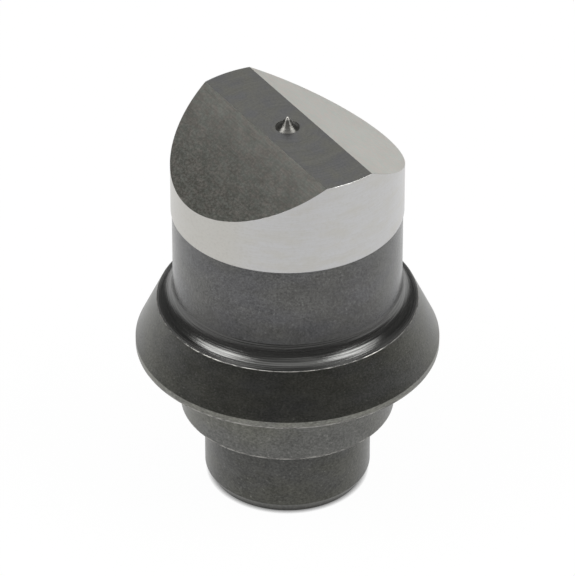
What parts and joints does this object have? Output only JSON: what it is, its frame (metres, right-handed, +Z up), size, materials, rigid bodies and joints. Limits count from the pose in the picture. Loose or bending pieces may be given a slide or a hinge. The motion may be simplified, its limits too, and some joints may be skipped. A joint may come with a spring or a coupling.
{
  "type": "round punch",
  "caption": "Round shear punch: stepped tail and pilot, coned collar, relieved body, ground cutting land and roof-shaped nose with a flat strip and a centre point.",
  "frame": {"origin": "centre of the drive face, on the punch axis", "axes": "+Z up the punch axis, from the drive face to the cutting end; +X along the flat strip of the nose, so the shear slopes face +Y and -Y"},
  "size_m": [0.0356, 0.0356, 0.0495],
  "materials": {
    "oxide_steel": "hardened tool steel, dark heat-treatment oxide, satin",
    "ground_steel": "hardened tool steel, finely ground"
  },
  "bodies": {
    "root": {"punch_body": "oxide_steel", "centre_point": "ground_steel"}
  },
  "joints": []
}
